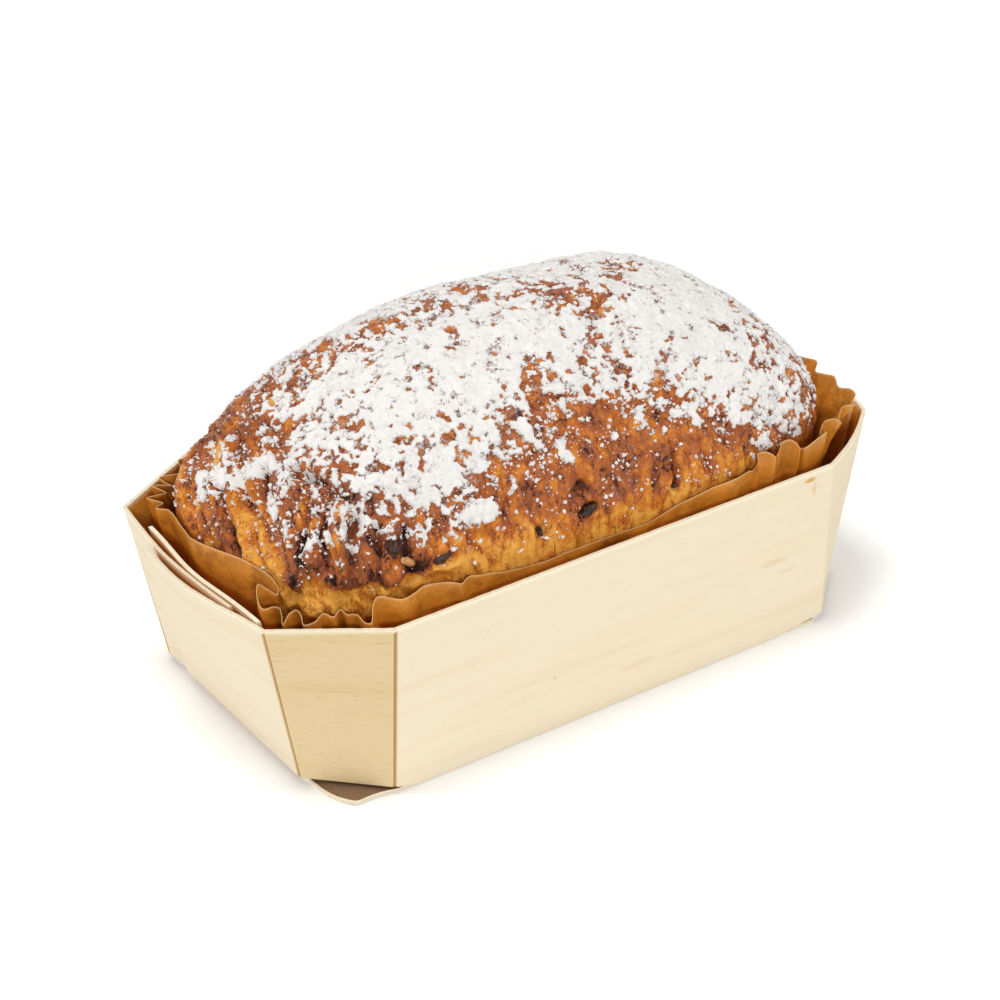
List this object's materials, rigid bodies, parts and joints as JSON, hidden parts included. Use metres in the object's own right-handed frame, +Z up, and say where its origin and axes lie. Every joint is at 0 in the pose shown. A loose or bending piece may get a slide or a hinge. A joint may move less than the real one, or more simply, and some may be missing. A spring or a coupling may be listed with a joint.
{
  "type": "almond bread",
  "caption": "Almond bread with a high sugar-dusted crown, in a pleated paper liner inside the folded wooden veneer mould it was baked in.",
  "frame": {"origin": "middle of the underside of the wooden mould, on the surface that it stands on", "axes": "+X along the loaf, -Y towards the front wall, +Z up through the crown"},
  "size_m": [0.1942, 0.1054, 0.096],
  "materials": {
    "crust": "baked brown crust, glossy where it is bare and dusted with white powdered sugar on the crown",
    "baking_paper": "brown baking paper, satin, crinkled and pleated",
    "veneer_inner": "poplar veneer, warm and slightly browned by baking",
    "veneer": "pale poplar veneer with fine grain, matt"
  },
  "bodies": {
    "root": {"loaf": "crust", "paper_liner": "baking_paper", "mould_cradle": "veneer_inner", "mould_wrap": "veneer"}
  },
  "joints": []
}
